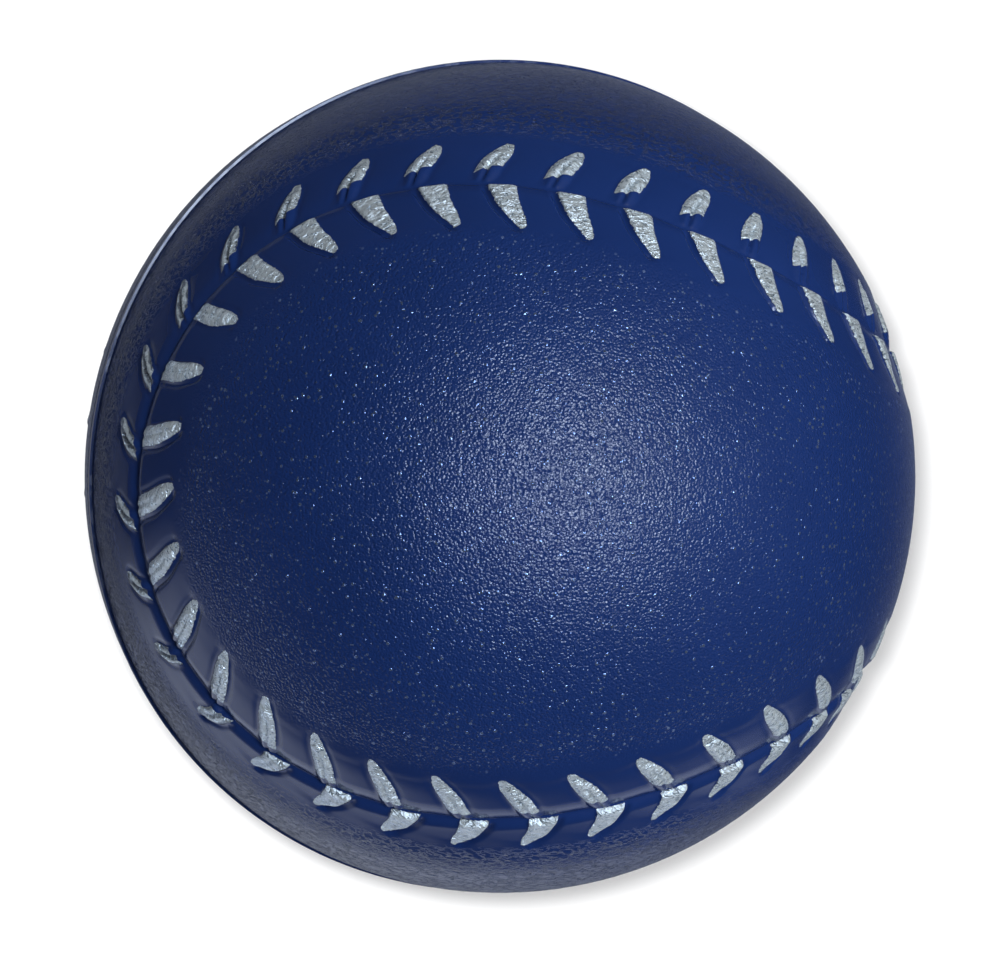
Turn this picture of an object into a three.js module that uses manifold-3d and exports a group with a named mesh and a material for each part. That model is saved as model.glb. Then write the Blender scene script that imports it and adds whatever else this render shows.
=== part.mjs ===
// A moulded play ball with a baseball-style seam, in millimetres, +Z up, origin at the ball's centre.
//
// The ball is a composition core inside a two-part moulded cover. The two half covers meet at the plane z = 0,
// where a tongue on the upper one sits in a groove in the lower one, and the upper one ends in a thin lip that
// shows as a line round the ball. The seam and its stitches are relief of the covers: a V valley that wanders
// round the ball on a four-lobed curve, with a row of raised stitches leaning back from it on either side.
//
// +Z is the direction in which the mould opens. +X points at the waist of the panel that covers the top.

import * as THREE from "three";
import { mergeVertices, toCreasedNormals } from "three/addons/utils/BufferGeometryUtils.js";
import Module from "manifold-3d";

// ---- Driving dimensions ----

const BALL_RADIUS = 37.5; // over the plain panels
const COVER_THICKNESS = 4.5;
const FIT_GAP = 0.3; // left between pieces that are bonded or packed together

// The seam's curve: two harmonics round the ball and one across it, pressed out to the sphere.
const SEAM_FIRST = 0.6456;
const SEAM_THIRD = 0.3544;
const SEAM_ACROSS = 0.791;
const SEAM_VALLEY_DEPTH = 0.9;
const SEAM_VALLEY_WIDTH = 2.8; // at the skin
const SEAM_STEPS = 132;

// The stitches, in pairs that make a V along the seam. Each half cover has the same number of pairs.
const PAIRS_PER_HALF = 35;
const STITCH_PITCH = 5.985; // except near the joint, where it widens a little
const ROW_SHIFT = 2.63; // of both rows along the seam, from even about the lobe's tip
const STITCH_LENGTH = 5.4;
const STITCH_WIDTH = 2.1;
const STITCH_OFFSET = 2.8; // from the seam to the middle of a stitch
const STITCH_STAGGER = 1.8; // along the seam, between the two stitches of a pair
const STITCH_LEAN = THREE.MathUtils.degToRad(25); // back from square to the seam
const STITCH_PROUD = 0.3; // above the panels
const STITCH_HALF_HEIGHT = 0.8;

// The joint between the half covers.
const LIP_WIDTH = 0.8;
const LIP_PROUD = 0.15;
const TONGUE_RADIUS = 35.25;
const TONGUE_WIDTH = 1.5;
const TONGUE_HEIGHT = 1.8;

// Facets.
const SKIN_SEGMENTS = 48;
const CORE_SEGMENTS = 36;
const RING_SEGMENTS = 96;
const STITCH_SIDES = 6;
const CREASE_ANGLE = THREE.MathUtils.degToRad(20); // facets that meet at more than this show an edge

const CAVITY_RADIUS = BALL_RADIUS - COVER_THICKNESS;
const CORE_RADIUS = CAVITY_RADIUS - FIT_GAP;
const BEYOND = 2 * BALL_RADIUS; // clear of the ball on any side

const MATERIALS = {
  upperCover: new THREE.MeshStandardMaterial({ color: 0x1b2f68, roughness: 0.38, metalness: 0 }),
  lowerCover: new THREE.MeshStandardMaterial({ color: 0x1b2f68, roughness: 0.38, metalness: 0 }),
  core: new THREE.MeshStandardMaterial({ color: 0x9a7048, roughness: 0.85, metalness: 0 }),
};

// ---- Solids ----

const wasm = await Module();
wasm.setup();

/** A closed three.js geometry as a solid that can be joined and cut. */
function solid(geometry) {
  const bare = geometry.clone();
  bare.deleteAttribute("normal");
  bare.deleteAttribute("uv");
  const merged = mergeVertices(bare, 1e-4);
  return new wasm.Manifold(
    new wasm.Mesh({
      numProp: 3,
      vertProperties: merged.attributes.position.array,
      triVerts: new Uint32Array(merged.index.array),
    }),
  );
}

/** A solid as a named mesh. */
function piece(name, made, material) {
  const { vertProperties, triVerts } = made.getMesh();
  const geometry = new THREE.BufferGeometry();
  geometry.setAttribute("position", new THREE.BufferAttribute(vertProperties, 3));
  geometry.setIndex(new THREE.BufferAttribute(triVerts, 1));
  const mesh = new THREE.Mesh(toCreasedNormals(geometry, CREASE_ANGLE), material);
  mesh.name = name;
  return mesh;
}

/** A ball about the origin whose poles are on Z. */
function ball(radius, segments) {
  const geometry = new THREE.SphereGeometry(radius, segments, segments / 2);
  return solid(geometry.rotateX(Math.PI / 2));
}

/** A ring about Z with a rectangular section. */
function ring(innerRadius, outerRadius, low, high) {
  const profile = [
    [innerRadius, low],
    [outerRadius, low],
    [outerRadius, high],
    [innerRadius, high],
    [innerRadius, low],
  ].map(([r, z]) => new THREE.Vector2(r, z));
  return solid(new THREE.LatheGeometry(profile, RING_SEGMENTS).rotateX(Math.PI / 2));
}

/** A block that covers everything above z, or below it. */
function halfSpace(z, side) {
  const block = new THREE.BoxGeometry(BEYOND, BEYOND, BEYOND);
  return solid(block.translate(0, 0, z + (side * BEYOND) / 2));
}

// ---- The seam ----

/** The seam as a closed curve on the ball, from the upper panel's waist at t = 0 round to it again at t = 1. */
class SeamCurve extends THREE.Curve {
  getPoint(t, target = new THREE.Vector3()) {
    const turn = 2 * Math.PI * t;
    target.set(
      SEAM_ACROSS * Math.cos(2 * turn),
      SEAM_FIRST * Math.cos(turn) - SEAM_THIRD * Math.cos(3 * turn),
      SEAM_FIRST * Math.sin(turn) + SEAM_THIRD * Math.sin(3 * turn),
    );
    return target.setLength(BALL_RADIUS);
  }
}

const seam = new SeamCurve();
seam.arcLengthDivisions = 1200;

/** Axes at a share of the seam's length: out of the ball, along the seam, and across it to the top's panel. */
function seamFrame(share) {
  const wrapped = THREE.MathUtils.euclideanModulo(share, 1);
  const out = seam.getPointAt(wrapped).normalize();
  const along = seam.getTangentAt(wrapped);
  const across = new THREE.Vector3().crossVectors(out, along).normalize();
  return { out, along, across };
}

/** The ring of V section that the valley is cut with: a torus whose tube is laid along the seam. */
function valleyCutter() {
  const geometry = new THREE.TorusGeometry(1, 0.25, 3, SEAM_STEPS);
  const place = geometry.attributes.position;
  const point = new THREE.Vector3();
  // The section is a triangle with one corner in and two out; its sides pass the skin at the valley's width.
  const halfWidth = (SEAM_VALLEY_WIDTH / 2) * 1.5 / Math.sin((2 * Math.PI) / 3);
  for (let i = 0; i < place.count; i += 1) {
    point.fromBufferAttribute(place, i);
    const { out, across } = seamFrame(Math.atan2(point.y, point.x) / (2 * Math.PI));
    const fromMiddle = Math.hypot(point.x, point.y) - 1;
    const outwards = -fromMiddle / 0.25;
    const sideways = point.z / 0.25;
    point.copy(out).multiplyScalar(BALL_RADIUS + outwards * SEAM_VALLEY_DEPTH);
    point.addScaledVector(across, -sideways * halfWidth);
    place.setXYZ(i, point.x, point.y, point.z);
  }
  return solid(geometry);
}

/** How far a pair is from its lobe's tip along the seam: the pitch widens a little towards the joint. */
function pairDistance(count, quarterLength) {
  const last = PAIRS_PER_HALF / 2;
  const widening = (quarterLength - STITCH_PITCH * last) / last ** 5;
  return STITCH_PITCH * count + widening * count ** 5;
}

/** One stitch, lying along Y with its rounded tip at +Y and its crown towards +Z. */
function stitchGeometry() {
  const profile = [
    [0, -0.5],
    [1, -0.42],
    [0.92, 0.22],
    [0, 0.5],
  ].map(([r, y]) => new THREE.Vector2(r, y));
  const geometry = new THREE.LatheGeometry(profile, STITCH_SIDES);
  return geometry.scale(STITCH_WIDTH / 2, STITCH_LENGTH, STITCH_HALF_HEIGHT);
}

/** Every stitch in place, as solids: two rows, one on each side of the seam. */
function stitches() {
  const seamLength = seam.getLength();
  const shape = stitchGeometry();
  const made = [];
  for (const tip of [0.25, 0.75]) {
    for (let k = 0; k < PAIRS_PER_HALF; k += 1) {
      const count = k + 0.5 - PAIRS_PER_HALF / 2;
      const middle = tip * seamLength + pairDistance(count, seamLength / 4) + ROW_SHIFT;
      for (const side of [1, -1]) {
        const shift = (-side * STITCH_STAGGER) / 2;
        const { out, along, across } = seamFrame((middle + shift) / seamLength);
        const outwards = across.clone().multiplyScalar(side * Math.cos(STITCH_LEAN));
        const away = outwards.addScaledVector(along, -Math.sin(STITCH_LEAN));
        const foot = out.clone().multiplyScalar(BALL_RADIUS);
        const centre = foot.addScaledVector(across, side * STITCH_OFFSET);
        centre.setLength(BALL_RADIUS + STITCH_PROUD - STITCH_HALF_HEIGHT);
        const up = centre.clone().normalize();
        const wide = new THREE.Vector3().crossVectors(away, up).normalize();
        const lengthways = new THREE.Vector3().crossVectors(up, wide);
        const pose = new THREE.Matrix4().makeBasis(wide, lengthways, up).setPosition(centre);
        made.push(solid(shape.clone().applyMatrix4(pose)));
      }
    }
  }
  return made;
}

// ---- The pieces ----

/** The ball's outer shape with its seam valley and stitches. */
function reliefBall() {
  const grooved = ball(BALL_RADIUS, SKIN_SEGMENTS).subtract(valleyCutter());
  return stitches().reduce((whole, stitch) => whole.add(stitch), grooved);
}

/** The lip that the upper cover ends in at the skin. */
function lipRing() {
  return ring(BALL_RADIUS - 1, BALL_RADIUS + LIP_PROUD, FIT_GAP / 2, FIT_GAP / 2 + LIP_WIDTH);
}

/** The tongue's ring on the upper cover, or with a margin the groove for it in the lower one. */
function tongueRing(margin) {
  const halfWidth = TONGUE_WIDTH / 2 + margin;
  const low = -TONGUE_HEIGHT - margin;
  return ring(TONGUE_RADIUS - halfWidth, TONGUE_RADIUS + halfWidth, low, FIT_GAP);
}

const cover = reliefBall().subtract(ball(CAVITY_RADIUS, CORE_SEGMENTS));
const upperHalf = cover.intersect(halfSpace(FIT_GAP / 2, 1)).add(lipRing());
const upperCover = upperHalf.add(tongueRing(0));
const lowerCover = cover.intersect(halfSpace(-FIT_GAP / 2, -1)).subtract(tongueRing(FIT_GAP));
const core = ball(CORE_RADIUS, CORE_SEGMENTS);

const playBall = new THREE.Group();
playBall.name = "seamed_play_ball";
playBall.add(
  piece("upper_cover", upperCover, MATERIALS.upperCover),
  piece("lower_cover", lowerCover, MATERIALS.lowerCover),
  piece("core", core, MATERIALS.core),
);

export default playBall;
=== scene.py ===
"""A croquet ball made to look like a baseball: two half covers with a stitched seam, over a solid core.

The covers are one skin of fine relief, cut at the joint plane and lined on the inside. The relief comes
from the seam's path: a V valley that wanders round the ball, stitches that lean back from it on both
sides, and a lip at the joint. Lengths are in metres in the meshes, and in millimetres in the relief and
the finishes.
"""

import logging
import math
from dataclasses import dataclass, field
from enum import Enum
from functools import cached_property

import bmesh
import bpy
import numpy as np
from mathutils import Matrix, Vector
from mathutils.kdtree import KDTree


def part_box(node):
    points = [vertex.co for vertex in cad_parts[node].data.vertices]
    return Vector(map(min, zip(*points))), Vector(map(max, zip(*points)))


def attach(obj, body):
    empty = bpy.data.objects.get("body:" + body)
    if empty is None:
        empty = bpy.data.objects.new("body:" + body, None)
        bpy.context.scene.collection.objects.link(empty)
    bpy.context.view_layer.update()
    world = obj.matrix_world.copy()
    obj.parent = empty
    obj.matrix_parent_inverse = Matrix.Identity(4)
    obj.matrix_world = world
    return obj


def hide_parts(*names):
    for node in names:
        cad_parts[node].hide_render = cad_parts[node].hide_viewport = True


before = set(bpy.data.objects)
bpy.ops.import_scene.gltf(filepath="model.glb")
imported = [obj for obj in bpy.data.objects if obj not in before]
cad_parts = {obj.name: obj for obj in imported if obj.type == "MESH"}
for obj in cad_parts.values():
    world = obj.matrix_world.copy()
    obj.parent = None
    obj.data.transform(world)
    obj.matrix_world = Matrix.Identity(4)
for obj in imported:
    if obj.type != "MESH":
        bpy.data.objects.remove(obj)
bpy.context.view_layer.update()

MM = 0.001
BALL_RADIUS = -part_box("lower_cover")[0].z

SHARP_ANGLE = math.radians(70.0)  # edges that turn by more than this show

Colour = tuple[float, float, float, float]

log = logging.getLogger("croquet_ball")


def smooth_step(low: float, high: float, value: np.ndarray) -> np.ndarray:
    """0 below low, 1 above high, and a smooth rise between them."""
    t = np.clip((value - low) / (high - low), 0.0, 1.0)
    return t * t * (3.0 - 2.0 * t)


def bell(value: np.ndarray, width: float) -> np.ndarray:
    """A bell curve of height 1 whose shoulders are at width."""
    return np.exp(-((value / width) ** 2))


def higher_of(a: np.ndarray, b: np.ndarray, fillet: float) -> np.ndarray:
    """The higher of two surfaces, with a fillet of about that size where they meet."""
    return 0.5 * (a + b + np.sqrt((a - b) ** 2 + fillet**2))


def directions_of(bm: bmesh.types.BMesh) -> np.ndarray:
    """The unit vectors from the origin to a mesh's vertices, in their order."""
    places = np.array([v.co[:] for v in bm.verts])
    return places / np.linalg.norm(places, axis=1, keepdims=True)


class Half(Enum):
    """Which half of the mould a cover comes from. The value is the side of the joint that it lies on."""

    UPPER = 1
    LOWER = -1


class Row(Enum):
    """The row of stitches on one side of the seam. The value is the side of the seam."""

    INNER = 1
    OUTER = -1


@dataclass
class SeamPath:
    """The curve that the seam follows, in millimetres.

    It is the curve of a baseball's seam: two harmonics round the ball and one across it, pressed out to the
    sphere.
    """

    radius: float
    first: float = 0.6456
    third: float = 0.3544
    across_share: float = 0.791
    samples: int = 7200

    @cached_property
    def points(self) -> np.ndarray:
        """The path's points as unit vectors, from the inner panel's waist round to it again."""
        turn = 2.0 * math.pi * np.arange(self.samples) / self.samples
        path = np.stack(
            [
                self.across_share * np.cos(2.0 * turn),
                self.first * np.cos(turn) - self.third * np.cos(3.0 * turn),
                self.first * np.sin(turn) + self.third * np.sin(3.0 * turn),
            ],
            axis=1,
        )
        return path / np.linalg.norm(path, axis=1, keepdims=True)

    @cached_property
    def along(self) -> np.ndarray:
        """The direction of travel at each point."""
        step = np.roll(self.points, -1, axis=0) - np.roll(self.points, 1, axis=0)
        return step / np.linalg.norm(step, axis=1, keepdims=True)

    @cached_property
    def across(self) -> np.ndarray:
        """The direction from each point towards the inner panel."""
        return np.cross(self.points, self.along)

    @cached_property
    def travelled(self) -> np.ndarray:
        """The distance travelled at each point."""
        step = np.linalg.norm(np.diff(self.points, axis=0), axis=1) * self.radius
        return np.concatenate([[0.0], np.cumsum(step)])

    @cached_property
    def length(self) -> float:
        """The whole way round."""
        last_step = np.linalg.norm(self.points[0] - self.points[-1]) * self.radius
        return float(self.travelled[-1] + last_step)

    @cached_property
    def tree(self) -> KDTree:
        """The points, for finding the nearest one."""
        tree = KDTree(self.samples)
        for i, point in enumerate(self.points):
            tree.insert(point, i)
        tree.balance()
        return tree

    def nearest(self, directions: np.ndarray) -> tuple[np.ndarray, np.ndarray]:
        """The path's point that is nearest to each direction.

        Args:
            directions: Unit vectors, one to a row.

        Returns:
            The point's index and its distance, for each.
        """
        found = [self.tree.find(d)[1:] for d in directions]
        index, distance = np.array(found).T
        return index.astype(np.int64), distance * self.radius

    def offset(self, directions: np.ndarray, index: np.ndarray) -> np.ndarray:
        """How far each direction lies from the path, positive on the inner panel."""
        sine = np.einsum("ij,ij->i", directions, self.across[index])
        return self.radius * np.arcsin(np.clip(sine, -1.0, 1.0))

    def index_at(self, distance: float) -> int:
        """The index of the point at a distance along the path."""
        return int(np.searchsorted(self.travelled, distance % self.length)) % self.samples


@dataclass(frozen=True)
class Stitch:
    """One stitch.

    Attributes:
        row: The side of the seam that it is on.
        middle: Its middle, on the plain ball.
        away: The way it points, from the crease.
        wide: The way across it.
        reach: How far its middle is from the crease, along it.
        tip: How far its tip is from the crease, along it.
        stub: How far from the crease its paint starts.
        wedge: 1 for a flat wedge, 0 for a round bar, and between where one turns into the other.
        rise: How much higher it stands than the others.
        wear_and_shade: How worn its paint is, and how much painted shade darkens it, from 0 to 1.
        number: Its own number, for what varies from one to the next.
    """

    row: Row
    middle: np.ndarray
    away: np.ndarray
    wide: np.ndarray
    reach: float
    tip: float
    stub: float
    wedge: float
    rise: float
    wear_and_shade: float
    number: int


@dataclass
class StitchRows:
    """Both rows of stitches. Their pairs make a V along the seam, and both mould halves have as many.

    A stitch on the +Y side of the seam is a rounded bar whose foot is bare. One on the -Y side is a wedge
    that is cut straight along the crease.
    """

    seam: SeamPath
    pairs_per_half: int = 35
    pitch: float = 5.985
    row_shift: float = 2.63
    offset: float = 2.8
    tip_offset: float = 5.35
    stagger: float = 1.8
    steepest_y: float = 0.69  # how far the way across the seam turns to Y, at most
    bow_rise: float = 0.2
    lean: dict[Row, float] = field(default_factory=lambda: {Row.INNER: 15.0, Row.OUTER: 25.0})
    extra_lean: dict[Row, float] = field(default_factory=lambda: {Row.INNER: 33.0, Row.OUTER: -66.0})
    wedge_lean: float = 19.0

    def pair_distance(self, count: float) -> float:
        """How far a pair is from its lobe's tip: the pitch widens a little near the joint."""
        last = self.pairs_per_half / 2
        widening = (self.seam.length / 4 - self.pitch * last) / last**5
        return self.pitch * count + widening * count**5

    def pair_places(self) -> list[float]:
        """The distance along the seam of every pair."""
        counts = [k + 0.5 - self.pairs_per_half / 2 for k in range(self.pairs_per_half)]
        tips = [self.seam.length / 4, 3 * self.seam.length / 4]
        return [tip + self.pair_distance(c) + self.row_shift for tip in tips for c in counts]

    def crease(self, index: np.ndarray) -> np.ndarray:
        """How far the valley's bottom lies from the path: towards -Y, and outwards at the lobes' tips."""
        towards_y = self.seam.across[index, 1]
        return -0.7 - 1.15 * towards_y - 0.6 * self.bow(towards_y)

    def bow(self, towards_y: np.ndarray) -> np.ndarray:
        """1 where the seam runs along Y, at the lobes' tips, and 0 along their sides."""
        return 1.0 - np.clip(towards_y / self.steepest_y, -1.0, 1.0) ** 2

    def lean_of(self, place: float, row: Row, wedge: float) -> float:
        """How far a stitch leans back, in radians. The bars turn towards each other near the joint."""
        quarter = self.seam.length / 4
        far = min(abs(place % (2 * quarter) - quarter) / quarter, 0.75)
        bar = self.lean[row] + self.extra_lean[row] * far**3
        return math.radians(bar + wedge * (self.wedge_lean - bar))

    def stitch(self, place: float, row: Row, number: int) -> Stitch:
        """The stitch of one pair in one row.

        Args:
            place: The pair's distance along the seam.
            row: The side of the seam.
            number: The stitch's own number, for what varies from one to the next.

        Returns:
            The stitch, with its directions tangent to the ball.
        """
        foot = self.seam.index_at(place - row.value * self.stagger / 2)
        across = self.seam.across[foot] * row.value
        wedge = float(smooth_step(0.38, 0.66, -across[1]))
        turn = self.lean_of(place, row, wedge)
        crease = float(self.crease(foot)) * row.value
        middle = self.seam.points[foot] * self.seam.radius + across * self.offset
        up = middle / np.linalg.norm(middle)
        away = across * math.cos(turn) - self.seam.along[foot] * math.sin(turn)
        away = away - up * (away @ up)
        away /= np.linalg.norm(away)
        bow = float(self.bow(across[1]))
        stub = 2.1 * float(np.clip(across[1], 0.0, self.steepest_y)) + 0.35 * bow
        if row is Row.OUTER:
            stub = 1.1 + 0.8 * across[1] - 0.5 * bow
        vary = 0.3 * math.sin(78.233 * number + 1.7)
        return Stitch(
            row=row,
            middle=up * self.seam.radius,
            away=away,
            wide=np.cross(away, up) * row.value,
            reach=(self.offset - crease) / math.cos(turn),
            tip=(self.tip_offset + vary - crease) / math.cos(turn),
            stub=stub * (1.0 - wedge) + 0.05,
            wedge=wedge,
            rise=self.bow_rise * bow,
            # Outer row at the lobes' tips: partly real paint wear, partly painted shade where these
            # stitches face away from the light.
            wear_and_shade=min(1.5 * bow, 1.0) if row is Row.OUTER else 0.0,
            number=number,
        )

    @cached_property
    def stitches(self) -> list[Stitch]:
        """Every stitch of both rows."""
        made: list[Stitch] = []
        for place in self.pair_places():
            made += [self.stitch(place, row, len(made) + i) for i, row in enumerate(Row)]
        return made


@dataclass
class Surface:
    """What the relief gives each point of the skin."""

    height: np.ndarray
    offset: np.ndarray
    paint: np.ndarray
    # Paint wear and painted shade on the outer row's stitches at the lobes' tips.
    wear_and_shade: np.ndarray
    place: np.ndarray


@dataclass
class CoverRelief:
    """The shape of the cover's skin over the plain ball, in millimetres."""

    rows: StitchRows
    valley_depth: float = 0.5
    gentle_width: float = 2.4
    steep_width: float = 1.2
    trough_depth: float = 0.24
    trough_width: float = 5.6
    shoulder: float = 0.06
    zigzag: float = 0.1
    bar_half_width: dict[Row, float] = field(default_factory=lambda: {Row.INNER: 0.93, Row.OUTER: 1.06})
    wedge_half_width: float = 1.22
    crown: float = 0.55
    strand_crease: dict[Row, float] = field(default_factory=lambda: {Row.INNER: 0.2, Row.OUTER: 0.42})
    moat_depth: float = 0.09
    channel_depth: float = 0.3
    hole_depth: float = 0.3
    pull_depth: float = 0.06
    fillet: float = 0.05
    reach_of_stitch: float = 5.6
    paint_margin: float = 0.04
    lip_height: float = 0.9
    lip_proud: float = 0.22
    lip_ledge: float = 0.04
    lower_rim: float = 0.12
    past_joint: float = 6.0

    @property
    def seam(self) -> SeamPath:
        """The path that the relief follows."""
        return self.rows.seam

    def crease_place(self, index: np.ndarray) -> np.ndarray:
        """How far the valley's bottom lies from the path, with a slight zigzag that peaks at each pair."""
        places = np.array(self.rows.pair_places()) + self.rows.stagger
        travelled = self.seam.travelled[index]
        order = np.sort(places % self.seam.length)
        before = np.searchsorted(order, travelled) - 1
        since = (travelled - order[before]) % self.seam.length
        share = np.clip(since / self.rows.pitch, 0.0, 1.0)
        wave = 2.0 * np.abs(2.0 * share - 1.0) - 1.0
        return self.rows.crease(index) - self.zigzag * wave * self.seam.across[index, 1]

    def ground(self, offset: np.ndarray, index: np.ndarray) -> np.ndarray:
        """The height of the panels and the valley between them, without stitches.

        Args:
            offset: Distance from the valley's bottom, positive on the inner panel.
            index: The nearest point of the path.

        Returns:
            Heights over the plain ball.
        """
        away = np.abs(offset)
        towards_y = np.sign(offset) * self.seam.across[index, 1]
        bow = self.rows.bow(towards_y)
        steep = np.maximum(smooth_step(-0.3, 0.4, -towards_y), bow)
        width = self.gentle_width + (self.steep_width - self.gentle_width) * steep
        depth = self.valley_depth * (1.0 - 0.45 * smooth_step(0.0, 0.6, -self.seam.across[index, 1]))
        valley = -depth * np.clip((width - away) / width, 0.0, 1.0) ** 1.7
        trough = -self.trough_depth * (1.0 - 0.85 * bow) * (1.0 - smooth_step(1.5, self.trough_width, away))
        return valley + trough - self.shoulder * (1.0 - bow) * (1.0 - smooth_step(5.1, 6.1, away))

    def crown_height(self, u: np.ndarray, stitch: Stitch) -> np.ndarray:
        """The height of a stitch's crown at a distance from the crease."""
        share = u / stitch.tip
        bar = 0.04 - 0.4 * (1.0 - smooth_step(0.0, 0.35, share)) - 0.7 * smooth_step(0.72, 1.02, share)
        flat = -0.14 - 0.3 * smooth_step(0.4, 1.0, share)
        return bar + (flat - bar) * stitch.wedge + stitch.rise

    def half_width(self, u: np.ndarray, stitch: Stitch) -> np.ndarray:
        """Half the width of a stitch at a distance from the crease."""
        share = np.clip(u / stitch.tip, 0.0, 1.0)
        end = np.clip((share - 0.35) / 0.67, 0.0, 1.0)
        bar = self.bar_half_width[stitch.row] * (1.0 - 0.22 * stitch.wear_and_shade) * (1.0 - end**2.4) ** 0.62
        wedge = self.wedge_half_width * (1.0 - share) ** 0.5 + 0.08
        return bar + (wedge - bar) * stitch.wedge

    def bend(self, u: np.ndarray, stitch: Stitch) -> np.ndarray:
        """How far a stitch's middle line bends back at a distance from the crease."""
        return -0.55 * smooth_step(0.35, 1.0, u / stitch.tip)

    def add_stitch(self, stitch: Stitch, points: np.ndarray, offset: np.ndarray, made: Surface) -> None:
        """Raises one stitch on the skin round it, and marks its paint.

        Args:
            stitch: The stitch.
            points: The skin's points, on the plain ball.
            offset: Their distance from the valley's bottom.
            made: What has been worked out so far, which this changes.
        """
        edge = math.cos(self.reach_of_stitch / self.seam.radius)
        near = points @ stitch.middle > self.seam.radius**2 * edge
        u = (points[near] - stitch.middle) @ stitch.away + stitch.reach
        v = (points[near] - stitch.middle) @ stitch.wide - self.bend(u, stitch)
        ground = made.height[near]
        half = self.half_width(u, stitch)
        side = np.abs(v) / np.maximum(half, 0.05)
        round_side = self.crown * (1.0 - np.sqrt(np.clip(1.0 - side**2, 0.0, 1.0)))
        flat_side = 0.3 * side**8 - 0.08 * bell(v - half + 0.2, 0.16)
        fall = round_side + (flat_side - round_side) * stitch.wedge + 3.0 * np.clip(side - 1.0, 0.0, 3.0)
        split = 1.0 - smooth_step(0.5, 0.75, u / stitch.tip)
        strands = bell(v, 0.17) * self.strand_crease[stitch.row] * split
        top = self.crown_height(u, stitch) - np.minimum(fall, 3.0) - strands * (1.0 - stitch.wedge)
        own_side = offset[near] * stitch.row.value
        top = top - 1.1 * (1.0 - smooth_step(-0.35, 0.45, own_side))
        reach = smooth_step(0.1, 1.0, own_side) * (1.0 - smooth_step(stitch.tip - 0.8, stitch.tip + 0.3, u))
        moat = self.moat_depth * bell(np.abs(v) - half - 0.25, 0.26) * reach * (1.0 - 0.8 * stitch.wedge)
        moat = moat * (0.35 + 3.25 * stitch.rise)
        ditch = stitch.wedge
        if stitch.row is Row.INNER:
            ditch = max(stitch.wedge, 0.6 * float(smooth_step(0.11, 0.19, stitch.rise)))
        channel = self.channel_depth * bell(v - half - 0.3, 0.24) * reach * ditch
        hole = self.hole_depth * bell(np.hypot(v - half - 0.25, u - stitch.tip + 0.25), 0.26) * stitch.wedge
        pull = self.pull_depth * bell(v, 1.9) * reach
        made.height[near] = higher_of(ground - moat - channel - hole - pull, top, self.fillet)
        self.add_paint(stitch, near, u, v, offset, made)

    def add_paint(
        self,
        stitch: Stitch,
        near: np.ndarray,
        u: np.ndarray,
        v: np.ndarray,
        offset: np.ndarray,
        made: Surface,
    ) -> None:
        """Marks how far inside the painted patch each point near a stitch is, and its place on the stitch.

        Args:
            stitch: The stitch.
            near: Which of the skin's points are near it.
            u: Their distance from the crease, along the stitch.
            v: Their distance from its middle line.
            offset: The distance of every point from the valley's bottom.
            made: What has been worked out so far, which this changes.
        """
        slant = 0.2 * math.sin(12.9898 * stitch.number + 4.1) - 0.4 * v
        start = stitch.stub + slant * (1.0 - stitch.wedge)
        half = self.half_width(u, stitch) - self.paint_margin
        inside = np.minimum(half - np.abs(v), stitch.tip - 0.1 - u)
        inside = np.minimum(inside, 2.0 * (offset[near] * stitch.row.value - np.maximum(start, 0.05)))
        better = inside > made.paint[near]
        index = np.flatnonzero(near)[better]
        made.paint[index] = inside[better]
        made.wear_and_shade[index] = stitch.wear_and_shade
        made.place[index, 0] = u[better]
        made.place[index, 1] = v[better]
        made.place[index, 2] = stitch.number

    def lip(self, z: np.ndarray, half: Half) -> np.ndarray:
        """The lip that the upper cover ends in at the joint, and the lower cover's rounded rim."""
        if half is Half.LOWER:
            return -self.lower_rim * bell(z, 0.45)
        return self.lip_proud * (1.0 - smooth_step(self.lip_height - self.lip_ledge, self.lip_height, z))

    def surface(self, directions: np.ndarray, half: Half) -> Surface:
        """The relief at each direction from the ball's centre.

        Args:
            directions: Unit vectors, one to a row.
            half: The cover that they lie on.

        Returns:
            The height, the distance from the seam, the paint and the place on a stitch of each.
        """
        index, _ = self.seam.nearest(directions)
        offset = self.seam.offset(directions, index)
        from_bottom = offset - self.crease_place(index)
        count = len(directions)
        made = Surface(
            height=self.ground(from_bottom, index),
            offset=offset,
            paint=np.full(count, -3.0),
            wear_and_shade=np.zeros(count),
            place=np.zeros((count, 3)),
        )
        points = directions * self.seam.radius
        for stitch in self.rows.stitches:
            if stitch.middle[2] * half.value > -self.past_joint:
                self.add_stitch(stitch, points, from_bottom, made)
        made.height += self.lip(np.abs(points[:, 2]), half)
        return made


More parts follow.
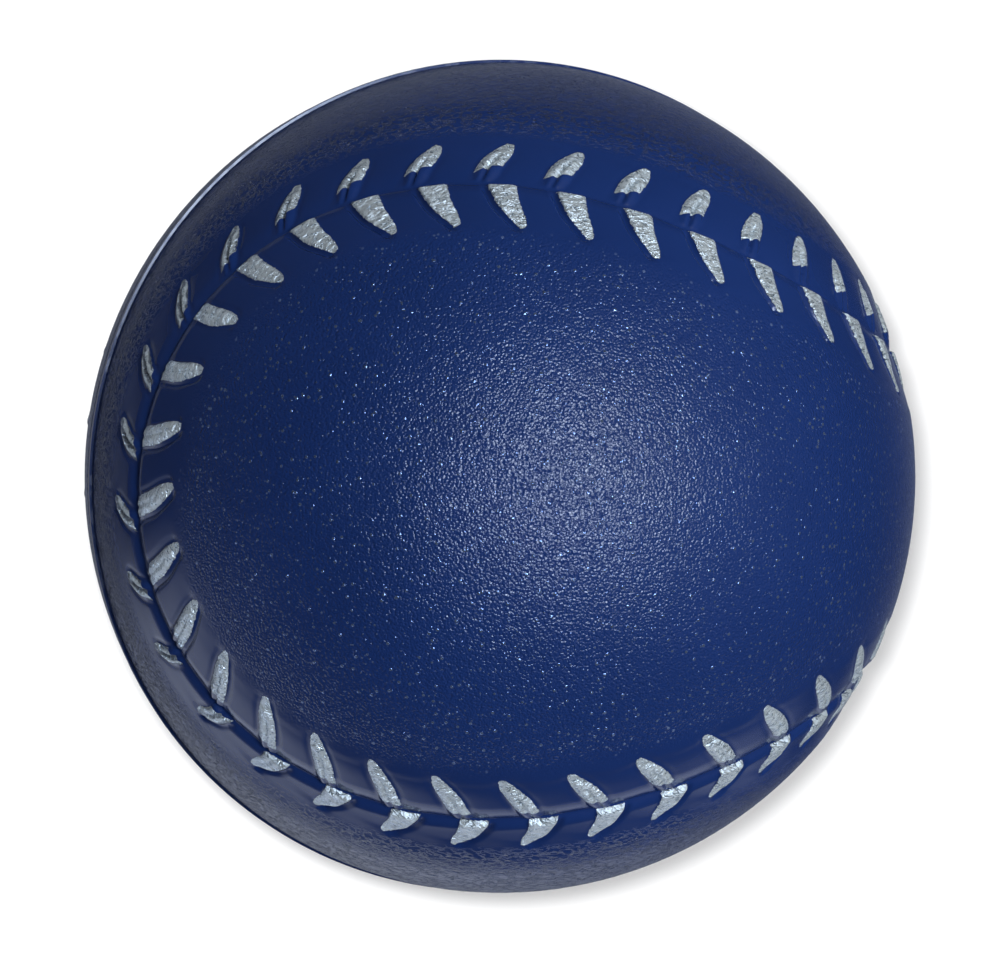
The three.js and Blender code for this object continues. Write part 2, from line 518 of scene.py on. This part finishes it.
class Sketch:
    """The nodes of one material or world, joined as they are made."""

    def __init__(self, tree: bpy.types.NodeTree) -> None:
        """Starts on an empty node tree."""
        self.tree = tree
        self.tree.nodes.clear()

    def put(self, socket: bpy.types.NodeSocket, value: object) -> None:
        """Joins a socket to the input, or sets it."""
        if isinstance(value, bpy.types.NodeSocket):
            self.tree.links.new(value, socket)
        elif value is not None:
            socket.default_value = value

    def node(self, kind: str, inputs: dict | None = None, **settings: object) -> bpy.types.Node:
        """A node of a kind, with its settings and inputs.

        Args:
            kind: The node's type, without the ShaderNode at its front.
            inputs: Values or sockets for its inputs, by name or number.
            settings: The node's own properties.

        Returns:
            The node.
        """
        made = self.tree.nodes.new("ShaderNode" + kind)
        for key, value in settings.items():
            setattr(made, key, value)
        for key, value in (inputs or {}).items():
            self.put(made.inputs[key], value)
        return made

    def math(self, operation: str, *values: object) -> bpy.types.NodeSocket:
        """The result of a Math node."""
        made = self.node("Math", dict(enumerate(values)), operation=operation)
        return made.outputs[0]

    def blend(self, share: object, low: object, high: object) -> bpy.types.NodeSocket:
        """A number between two others."""
        made = self.node("Mix", {"Factor": share, "A": low, "B": high}, data_type="FLOAT")
        return made.outputs[0]

    def tint(self, share: object, low: object, high: object) -> bpy.types.NodeSocket:
        """A colour between two others."""
        made = self.node("Mix", {"Factor": share}, data_type="RGBA")
        self.put(made.inputs[6], low)
        self.put(made.inputs[7], high)
        return made.outputs[2]

    def rise(self, value: object, low: float, high: float) -> bpy.types.NodeSocket:
        """0 where a value is under low, 1 where it is over high, and smooth between."""
        limits = {"Value": value, "From Min": low, "From Max": high}
        made = self.node("MapRange", limits, interpolation_type="SMOOTHSTEP")
        return made.outputs[0]

    def attribute(self, name: str) -> bpy.types.Node:
        """A mesh attribute."""
        return self.node("Attribute", attribute_name=name)

    def millimetres(self, stretch: tuple[float, float, float] = (1.0, 1.0, 1.0)) -> bpy.types.NodeSocket:
        """The place on the object, in millimetres."""
        where = self.node("TexCoord").outputs["Object"]
        scale = tuple(s / MM for s in stretch)
        return self.node("Mapping", {"Vector": where, "Scale": scale}).outputs[0]

    def noise(
        self, where: object, per_mm: float, detail: float = 2.0, rough: float = 0.5
    ) -> bpy.types.NodeSocket:
        """Soft noise from 0 to 1."""
        inputs = {"Vector": where, "Scale": per_mm, "Detail": detail, "Roughness": rough}
        return self.node("TexNoise", inputs).outputs["Fac"]

    def cells(self, where: object, per_mm: float) -> bpy.types.NodeSocket:
        """The distance from the middle of the cell, in a pattern of cells."""
        return self.node("TexVoronoi", {"Vector": where, "Scale": per_mm}, feature="F1").outputs["Distance"]

    def bump(self, height: object, strength: float, below: object = None) -> bpy.types.NodeSocket:
        """A surface normal from a height in millimetres."""
        made = self.node("Bump", {"Height": height, "Strength": strength, "Distance": MM, "Normal": below})
        return made.outputs[0]

    def finish(self, **inputs: object) -> None:
        """Ends in a Principled shader with these inputs, spaces in their names written as _."""
        named = {key.replace("_", " "): value for key, value in inputs.items()}
        shader = self.node("BsdfPrincipled", named)
        self.node("OutputMaterial", {"Surface": shader.outputs[0]})


def new_material(name: str) -> tuple[bpy.types.Material, Sketch]:
    """A material and the sketch of its nodes."""
    material = bpy.data.materials.new(name)
    material.use_nodes = True
    return material, Sketch(material.node_tree)


@dataclass(frozen=True)
class CoverFinish:
    """Navy moulded cover with fine grain on the panels and silver paint on the stitches."""

    navy: Colour = (0.0053, 0.0175, 0.084, 1.0)
    navy_dark: Colour = (0.0047, 0.0157, 0.076, 1.0)
    silver: Colour = (0.6, 0.69, 0.75, 1.0)
    silver_dark: Colour = (0.2, 0.26, 0.32, 1.0)
    # Dark silver for worn paint, and painted shade on outer stitches that face away from the light.
    silver_worn_and_shaded: Colour = (0.075, 0.095, 0.14, 1.0)
    cover_roughness: float = 0.215
    speck_roughness: float = 0.12
    fleck_metal: float = 0.82
    fleck_blue: Colour = (0.15, 0.22, 0.4, 1.0)
    paint_roughness: float = 0.27
    paint_metal: float = 0.65
    paint_thickness: float = 0.08
    speck_radius: float = 0.17
    strand_place: float = 0.42
    ledge_height: float = 0.88

    def paint_share(self, s: Sketch) -> bpy.types.NodeSocket:
        """1 on the silver paint and 0 off it, with a ragged edge."""
        inside = s.attribute("paint_edge").outputs["Fac"]
        ragged = s.noise(s.millimetres(), 3.2, 4.0, 0.65)
        worn = s.math("MULTIPLY", s.math("SUBTRACT", ragged, 0.5), 0.34)
        return s.rise(s.math("ADD", inside, worn), 0.0, 0.035)

    def cracks(self, s: Sketch) -> bpy.types.NodeSocket:
        """0 in the cracks across the dried paint, and 1 between them."""
        place = s.attribute("stitch_place").outputs["Vector"]
        long_way = s.node("Mapping", {"Vector": place, "Scale": (2.6, 0.8, 1.3)}).outputs[0]
        ridge = s.math("ABSOLUTE", s.math("SUBTRACT", s.noise(long_way, 1.0, 1.6, 0.5), 0.5))
        return s.rise(ridge, 0.0, 0.025)

    def lit_strand_tops(self, s: Sketch) -> bpy.types.NodeSocket:
        """1 along the tops of a stitch's two strands, kept bright silver as a painted highlight, and 0
        beside them.
        """
        across = s.node("SeparateXYZ", {0: s.attribute("stitch_place").outputs["Vector"]}).outputs[1]
        beside = s.math("ABSOLUTE", s.math("SUBTRACT", s.math("ABSOLUTE", across), self.strand_place))
        uneven = s.math("MULTIPLY", s.math("SUBTRACT", s.noise(s.millimetres(), 1.6, 3.0), 0.5), 0.5)
        return s.rise(s.math("ADD", beside, uneven), 0.26, 0.1)

    def paint_height(self, s: Sketch, cracks: bpy.types.NodeSocket) -> bpy.types.NodeSocket:
        """The wrinkles, cracks and grit of the dried paint, in millimetres."""
        place = s.attribute("stitch_place").outputs["Vector"]
        long_way = s.node("Mapping", {"Vector": place, "Scale": (1.9, 0.9, 3.7)}).outputs[0]
        wrinkles = s.noise(long_way, 1.0, 3.0, 0.6)
        grit = s.noise(s.millimetres(), 7.0, 2.0, 0.7)
        folds = s.math("ADD", s.math("MULTIPLY", wrinkles, 0.5), s.math("MULTIPLY", cracks, 0.1))
        return s.math("ADD", folds, s.math("MULTIPLY", grit, 0.1))

    def specks(self, s: Sketch) -> bpy.types.NodeSocket:
        """Small round specks in the inner panel's grain, from 0 round them to 1 at their middles."""
        few = s.cells(s.millimetres(), 1.1)
        many = s.cells(s.millimetres(), 2.0)
        far = [s.math("DIVIDE", cell, self.speck_radius) for cell in (few, many)]
        large, small = [s.math("SUBTRACT", 1.0, s.math("POWER", share, 2.0)) for share in far]
        return s.math("MAXIMUM", s.math("MAXIMUM", large, s.math("MULTIPLY", small, 0.53)), 0.0)

    def pebbles(self, s: Sketch, specks: bpy.types.NodeSocket) -> bpy.types.NodeSocket:
        """The inner panel's grain: close round pebbles and specks, in millimetres."""
        place = s.millimetres()
        cell = s.cells(place, 4.2)
        pebble = s.math("MULTIPLY", s.math("MULTIPLY", cell, cell), -0.062)
        pebble = s.math("ADD", pebble, s.math("MULTIPLY", s.noise(place, 4.6, 1.0), 0.07))
        uneven = s.math("MULTIPLY", s.noise(place, 1.1, 3.0), 0.012)
        return s.math("ADD", s.math("ADD", pebble, s.math("MULTIPLY", specks, 0.05)), uneven)

    def leather(self, s: Sketch) -> bpy.types.NodeSocket:
        """The outer panel's grain: pits and short creases, in millimetres."""
        soft = s.noise(s.millimetres(), 1.6, 4.0, 0.65)
        drawn_out = s.noise(s.millimetres((0.7, 1.5, 1.2)), 1.25, 3.0, 0.6)
        crease = s.math("ABSOLUTE", s.math("SUBTRACT", drawn_out, 0.5))
        fold = s.math("MULTIPLY", s.rise(crease, 0.0, 0.05), 0.34)
        pit = s.math("MULTIPLY", s.rise(s.cells(s.millimetres(), 0.9), 0.1, 0.24), 0.45)
        return s.math("ADD", s.math("ADD", fold, pit), s.math("MULTIPLY", soft, 0.17))

    def grain_height(self, s: Sketch, specks: bpy.types.NodeSocket) -> bpy.types.NodeSocket:
        """The grain of both panels, which fades out before the seam and the lip, in millimetres."""
        offset = s.attribute("seam_offset").outputs["Fac"]
        inner = s.rise(offset, 4.0, 8.0)
        height = s.math("ABSOLUTE", s.node("SeparateXYZ", {0: s.millimetres()}).outputs[2])
        past_seam = s.rise(s.math("MULTIPLY", offset, -1.0), 5.0, 12.0)
        outer = s.math("MULTIPLY", past_seam, s.rise(height, 1.0, 1.8))
        inner_grain = s.math("MULTIPLY", self.pebbles(s, specks), inner)
        return s.math("ADD", inner_grain, s.math("MULTIPLY", self.leather(s), outer))

    def ledge_gloss(self, s: Sketch) -> bpy.types.NodeSocket:
        """1 on the glossy dashes along the lip's ledge, and 0 elsewhere."""
        height = s.node("SeparateXYZ", {0: s.millimetres()}).outputs[2]
        ledge = s.rise(s.math("ABSOLUTE", s.math("SUBTRACT", height, self.ledge_height)), 0.07, 0.03)
        return s.math("MULTIPLY", ledge, s.rise(s.noise(s.millimetres(), 0.9, 2.0), 0.4, 0.52))

    def material(self, name: str) -> bpy.types.Material:
        """The finish as a material."""
        material, s = new_material(name)
        paint = self.paint_share(s)
        cloud = s.noise(s.millimetres(), 0.06, 2.0)
        navy = s.tint(s.rise(cloud, 0.35, 0.65), self.navy_dark, self.navy)
        cracks = self.cracks(s)
        specks = self.specks(s)
        # Painted shade: the outer row's paint at the lobes' tips turns dark silver, partly as real wear;
        # the strands' tops stay bright silver as a painted highlight.
        wear_and_shade = s.attribute("paint_wear_and_shade").outputs["Fac"]
        silver = s.tint(cracks, self.silver_dark, self.silver)
        rubbed_and_shaded = s.math("SUBTRACT", 1.0, self.lit_strand_tops(s))
        silver = s.tint(s.math("MULTIPLY", s.math("MULTIPLY", wear_and_shade, 0.8), rubbed_and_shaded), silver, self.silver_worn_and_shaded)
        bare = s.math("SUBTRACT", 1.0, paint)
        grain = s.bump(s.math("MULTIPLY", self.grain_height(s, specks), bare), 1.0)
        coat = s.math("ADD", self.paint_height(s, cracks), self.paint_thickness)
        relief = s.bump(s.math("MULTIPLY", coat, paint), 1.0, grain)
        offset = s.attribute("seam_offset").outputs["Fac"]
        fleck = s.math("MULTIPLY", s.rise(specks, 0.05, 0.25), s.rise(offset, 5.0, 9.0))
        gloss = s.math("MAXIMUM", fleck, self.ledge_gloss(s))
        skin_roughness = s.blend(gloss, self.cover_roughness, self.speck_roughness)
        skin = s.tint(fleck, navy, self.fleck_blue)
        skin_metal = s.math("MULTIPLY", fleck, self.fleck_metal)
        s.finish(
            Base_Color=s.tint(paint, skin, silver),
            Roughness=s.blend(paint, skin_roughness, self.paint_roughness),
            Metallic=s.blend(paint, skin_metal, self.paint_metal),
            Specular_IOR_Level=0.5,
            Normal=relief,
        )
        return material


@dataclass(frozen=True)
class CoreFinish:
    """Pressed composition, brown with darker and lighter crumbs."""

    light: Colour = (0.34, 0.19, 0.085, 1.0)
    dark: Colour = (0.12, 0.06, 0.028, 1.0)
    roughness: float = 0.85

    def material(self, name: str) -> bpy.types.Material:
        """The finish as a material."""
        material, s = new_material(name)
        place = s.millimetres()
        crumbs = s.cells(place, 0.55)
        colour = s.tint(s.rise(crumbs, 0.1, 0.6), self.dark, self.light)
        s.finish(Base_Color=colour, Roughness=self.roughness, Normal=s.bump(crumbs, 0.4))
        return material


@dataclass
class CoverHalf:
    """One moulded half cover: the relief skin, its joint face and the wall round the core."""

    half: Half
    relief: CoverRelief
    joint_gap: float = 0.15
    bands: tuple[float, ...] = (8.0, 6.2, 4.85)
    skin_levels: int = 6
    cavity_radius: float = 33.0
    tongue_radius: float = 35.25
    tongue_width: float = 1.5
    tongue_height: float = 1.8
    clearance: float = 0.3
    lining_steps: int = 128
    wall_steps: int = 28
    spare_skin: float = 2.0
    joint_width: float = 1.2
    lip_rings: tuple[float, ...] = (1.2, 0.9, 0.86, 0.65, 0.4)

    @property
    def name(self) -> str:
        """The piece's name."""
        return f"{self.half.name.lower()}_cover_moulding"

    @property
    def node(self) -> str:
        """The design's node that the piece stands for."""
        return f"{self.half.name.lower()}_cover"

    @property
    def joint(self) -> float:
        """The height of the joint face."""
        return self.half.value * self.joint_gap

    def rough_skin(self) -> bmesh.types.BMesh:
        """A ball's skin of even triangles, with a little more than this half of it."""
        bm = bmesh.new()
        bmesh.ops.create_icosphere(bm, subdivisions=self.skin_levels, radius=self.relief.seam.radius)
        beyond = [f for f in bm.faces if f.calc_center_median().z * self.half.value < -self.spare_skin]
        bmesh.ops.delete(bm, geom=beyond, context="FACES")
        return bm

    def refine(self, bm: bmesh.types.BMesh) -> None:
        """Splits the triangles near the seam, more the nearer they are."""
        seam = self.relief.seam
        for band in self.bands:
            _, distance = seam.nearest(directions_of(bm))
            chosen = distance < band
            bm.verts.index_update()
            edges = [e for e in bm.edges if chosen[e.verts[0].index] or chosen[e.verts[1].index]]
            made = bmesh.ops.subdivide_edges(bm, edges=edges, cuts=1, use_grid_fill=True)
            bmesh.ops.triangulate(bm, faces=[f for f in bm.faces if len(f.verts) > 3])
            for v in made["geom_inner"]:
                if isinstance(v, bmesh.types.BMVert):
                    v.co = v.co.normalized() * seam.radius

    def cut(self, bm: bmesh.types.BMesh) -> None:
        """Cuts the skin off at the joint, with rings of edges for the lip."""
        side = self.half.value
        for height in (*self.lip_rings, self.joint_gap):
            under = [v for v in bm.verts if v.co.z * side < height]
            low = list(dict.fromkeys(f for v in under for f in v.link_faces))
            edges = list(dict.fromkeys(e for f in low for e in f.edges))
            geometry = list(dict.fromkeys(v for e in edges for v in e.verts)) + edges + low
            where = {"plane_co": (0, 0, side * height), "plane_no": (0, 0, side)}
            bmesh.ops.bisect_plane(bm, geom=geometry, clear_inner=height == self.joint_gap, **where)
        bmesh.ops.triangulate(bm, faces=[f for f in bm.faces if len(f.verts) > 3])

    def lining_profile(self) -> list[tuple[float, float]]:
        """The joint face and the wall round the core, from outside in.

        Returns:
            The distance from the axis and the height of each corner.
        """
        side = self.half.value
        spare = 0.0 if self.half is Half.UPPER else self.clearance
        outer = self.tongue_radius + self.tongue_width / 2 + spare
        inner = self.tongue_radius - self.tongue_width / 2 - spare
        tip = -(self.tongue_height + spare)
        start = math.asin(self.joint_gap / self.cavity_radius)
        wall = [start + (math.pi / 2 - start) * k / self.wall_steps for k in range(self.wall_steps + 1)]
        dome = [(self.cavity_radius * math.cos(a), side * self.cavity_radius * math.sin(a)) for a in wall]
        rim = [(self.relief.seam.radius - self.joint_width, self.joint), (outer, self.joint), (outer, tip)]
        return rim + [(inner, tip), (inner, self.joint)] + dome

    def lining(self) -> bpy.types.Mesh:
        """The joint face and the inner wall, spun round the axis."""
        bm = bmesh.new()
        verts = [bm.verts.new((r, 0.0, z)) for r, z in self.lining_profile()]
        edges = [bm.edges.new(pair) for pair in zip(verts, verts[1:])]
        turn = {"cent": (0, 0, 0), "axis": (0, 0, 1), "angle": 2 * math.pi, "steps": self.lining_steps}
        bmesh.ops.spin(bm, geom=verts + edges, use_merge=True, **turn)
        bmesh.ops.remove_doubles(bm, verts=bm.verts[:], dist=1e-4)
        mesh = bpy.data.meshes.new("lining")
        bm.to_mesh(mesh)
        bm.free()
        return mesh

    def add_lining(self, bm: bmesh.types.BMesh) -> None:
        """Joins the lining to the skin's edge, which closes the piece."""
        lining = self.lining()
        bm.from_mesh(lining)
        bpy.data.meshes.remove(lining)
        bmesh.ops.bridge_loops(bm, edges=[e for e in bm.edges if e.is_boundary])
        bmesh.ops.triangulate(bm, faces=[f for f in bm.faces if len(f.verts) > 3])
        bmesh.ops.recalc_face_normals(bm, faces=bm.faces[:])

    def build(self, material: bpy.types.Material) -> bpy.types.Object:
        """Makes the piece.

        Args:
            material: The cover's finish.

        Returns:
            The piece, which rides on the ball and stands for the design's half cover.
        """
        mesh = bpy.data.meshes.new(self.name)
        bm = self.rough_skin()
        self.refine(bm)
        self.cut(bm)
        bm.to_mesh(mesh)
        bm.free()
        self.emboss(mesh)
        bm = bmesh.new()
        bm.from_mesh(mesh)
        self.add_lining(bm)
        bmesh.ops.scale(bm, vec=(MM, MM, MM), verts=bm.verts[:])
        bm.to_mesh(mesh)
        bm.free()
        mesh.shade_smooth()
        mesh.set_sharp_from_angle(angle=SHARP_ANGLE)
        mesh.materials.append(material)
        piece = bpy.data.objects.new(self.name, mesh)
        bpy.context.scene.collection.objects.link(piece)
        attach(piece, "root")
        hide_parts(self.node)
        self.node
        log.info("%s: %d triangles", self.name, len(mesh.polygons))
        return piece

    def emboss(self, mesh: bpy.types.Mesh) -> None:
        """Presses the relief into the plain skin, and keeps its values as attributes for the finish."""
        places = np.empty(len(mesh.vertices) * 3)
        mesh.vertices.foreach_get("co", places)
        places = places.reshape(-1, 3)
        on_joint = np.abs(places[:, 2] - self.joint) < 1e-4
        directions = places / np.linalg.norm(places, axis=1, keepdims=True)
        surface = self.relief.surface(directions, self.half)
        places = directions * (self.relief.seam.radius + surface.height)[:, None]
        places[on_joint, 2] = self.joint
        mesh.vertices.foreach_set("co", places.ravel())
        # The wear mask carries both real paint wear and painted shade into the finish.
        kept = {"seam_offset": surface.offset, "paint_edge": surface.paint, "paint_wear_and_shade": surface.wear_and_shade}
        for name, values in kept.items():
            mesh.attributes.new(name, "FLOAT", "POINT").data.foreach_set("value", values.astype(np.float32))
        place = mesh.attributes.new("stitch_place", "FLOAT_VECTOR", "POINT")
        place.data.foreach_set("vector", surface.place.astype(np.float32).ravel())


@dataclass
class Studio:
    """A pale floor, soft lights and the camera."""

    ball_radius: float
    toward_camera: Vector = field(default_factory=lambda: Vector((-0.2472, 0.0744, 0.9661)))
    camera_up: Vector = field(default_factory=lambda: Vector((-0.0356, 0.9957, -0.0858)))
    camera_reach: float = 11.73
    lens: float = 174.8
    floor_half: float = 6.0
    floor_gap: float = 0.0002
    paper_white: Colour = (0.93, 0.93, 0.93, 1.0)
    room_tint: Colour = (0.82, 0.91, 1.16, 1.0)
    room_front: tuple[float, float, float] = (-0.18, -0.98, 0.0)
    shine_tint: tuple[float, float, float] = (0.7, 0.82, 1.0)

    @property
    def right(self) -> Vector:
        """The camera's right."""
        return self.camera_up.cross(self.toward_camera).normalized()

    def camera(self) -> None:
        """Puts the camera almost over the ball."""
        data = bpy.data.cameras.new("camera")
        data.lens = self.lens
        data.clip_start = 0.01
        camera = bpy.data.objects.new("camera", data)
        back = self.toward_camera.normalized()
        up = back.cross(self.right).normalized()
        turn = Matrix((self.right, up, back)).transposed().to_4x4()
        camera.matrix_world = Matrix.Translation(back * self.camera_reach * self.ball_radius) @ turn
        bpy.context.scene.collection.objects.link(camera)
        bpy.context.scene.camera = camera

    def direction(self, right: float, up: float, back: float) -> Vector:
        """A direction from the ball, in the camera's terms."""
        turned = self.right * right + self.camera_up * up + self.toward_camera * back
        return turned.normalized()

    def lamp(
        self,
        name: str,
        toward: Vector,
        reach: float,
        size: float,
        power: float,
        lit: list[bpy.types.Object],
    ) -> bpy.types.Object:
        """An area light that faces the ball.

        Args:
            name: The light's name.
            toward: The direction that it lies in, from the ball.
            reach: Its distance from the ball.
            size: Its diameter.
            power: Its power in watts.
            lit: The objects that it falls on.

        Returns:
            The light.
        """
        data = bpy.data.lights.new(name, "AREA")
        data.shape = "DISK"
        data.size = size
        data.energy = power
        lamp = bpy.data.objects.new(name, data)
        lamp.location = toward * reach
        lamp.rotation_mode = "QUATERNION"
        lamp.rotation_quaternion = toward.to_track_quat("Z", "Y")
        bpy.context.scene.collection.objects.link(lamp)
        group = bpy.data.collections.new(f"lit_by_{name}")
        for thing in lit:
            group.objects.link(thing)
        lamp.light_linking.receiver_collection = group
        return lamp

    def floor(self) -> bpy.types.Object:
        """A pale floor that the ball lies on."""
        bm = bmesh.new()
        bmesh.ops.create_grid(bm, x_segments=1, y_segments=1, size=self.floor_half)
        bmesh.ops.translate(bm, vec=(0, 0, -self.ball_radius - self.floor_gap), verts=bm.verts[:])
        mesh = bpy.data.meshes.new("floor")
        bm.to_mesh(mesh)
        bm.free()
        paper, s = new_material("pale_paper")
        s.finish(Base_Color=self.paper_white, Roughness=0.9, Specular_IOR_Level=0.1)
        mesh.materials.append(paper)
        floor = bpy.data.objects.new("floor", mesh)
        floor.visible_glossy = False
        bpy.context.scene.collection.objects.link(floor)
        return floor

    def surroundings(self) -> None:
        """A dim room that gloss shows: a dark ceiling, a grey table and a low pale glow in front."""
        world = bpy.data.worlds.new("studio")
        world.use_nodes = True
        s = Sketch(world.node_tree)
        where = s.node("TexCoord").outputs["Generated"]
        height = s.node("SeparateXYZ", {0: where}).outputs[2]
        towards_front = s.node("VectorMath", {0: where, 1: self.room_front}, operation="DOT_PRODUCT")
        front = towards_front.outputs["Value"]
        table = s.math("ADD", 0.24, s.math("MULTIPLY", s.rise(front, -0.3, -0.95), 0.35))
        table = s.math("MULTIPLY", table, s.rise(height, -0.6, -0.93))
        glow = s.math("MULTIPLY", s.rise(front, 0.28, 0.62), s.rise(height, -0.15, -0.58))
        level = s.math("ADD", s.math("MULTIPLY", glow, 0.95), s.math("ADD", table, 0.02))
        light = s.node("Background", {"Color": self.room_tint, "Strength": level})
        s.node("OutputWorld", {"Surface": light.outputs[0]})
        bpy.context.scene.world = world

    def light_floor(self, floor: bpy.types.Object) -> None:
        """The floor's lamps: two high ones for a soft shadow, and a low one that whitens it round the ball.

        Args:
            floor: The floor.
        """
        self.lamp("ceiling", Vector((0.0, 0.0, 1.0)), 1.6, 2.0, 11.5, [floor])
        self.lamp("overhead", self.direction(0.0, 0.0, 1.0), 1.6, 0.14, 9.7, [floor])
        wash = self.lamp("wash", self.direction(-0.017, 0.019, 1.0), 0.41, 0.02, 1.35, [floor])
        wash.visible_camera = False

    def light_ball(self, ball: list[bpy.types.Object]) -> None:
        """The ball's lamps: two for its colour, which gloss doesn't show, and one for the highlight alone.

        Args:
            ball: The ball's pieces.
        """
        key = self.lamp("key", self.direction(0.331, 0.0, 0.944), 1.2, 0.3, 11.8, ball)
        key.visible_glossy = False
        fill = self.lamp("fill", self.direction(0.7, 0.06, 0.7), 1.2, 2.4, 34.0, ball)
        fill.visible_glossy = False
        shine = self.lamp("shine", self.direction(0.331, 0.0, 0.944), 0.9, 0.42, 8.4, ball)
        shine.visible_diffuse = False
        shine.data.color = self.shine_tint

    def build(self, ball: list[bpy.types.Object]) -> None:
        """Makes the whole studio.

        Args:
            ball: The ball's pieces.
        """
        bpy.context.scene.view_settings.view_transform = "Standard"
        self.camera()
        floor = self.floor()
        self.surroundings()
        self.light_floor(floor)
        self.light_ball(ball)


@dataclass
class CroquetBall:
    """The whole ball."""

    radius: float

    def build(self) -> list[bpy.types.Object]:
        """Makes and dresses every piece.

        Returns:
            The pieces, in the order in which they were made.
        """
        seam = SeamPath(radius=self.radius / MM)
        relief = CoverRelief(rows=StitchRows(seam=seam))
        pieces = []
        for half in Half:
            finish = CoverFinish().material(f"{half.name.lower()}_cover")
            pieces.append(CoverHalf(half, relief).build(finish))
        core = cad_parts["core"]
        core.data.materials.clear()
        core.data.materials.append(CoreFinish().material("pressed_composition"))
        return pieces + [core]


def main() -> None:
    """Builds the ball and the studio."""
    logging.basicConfig(level=logging.INFO, format="%(message)s")
    ball = CroquetBall(radius=BALL_RADIUS).build()
    for piece in ball:
        log.info("made %s", piece.name)
    Studio(ball_radius=BALL_RADIUS).build(ball)


if __name__ == "__main__":
    main()
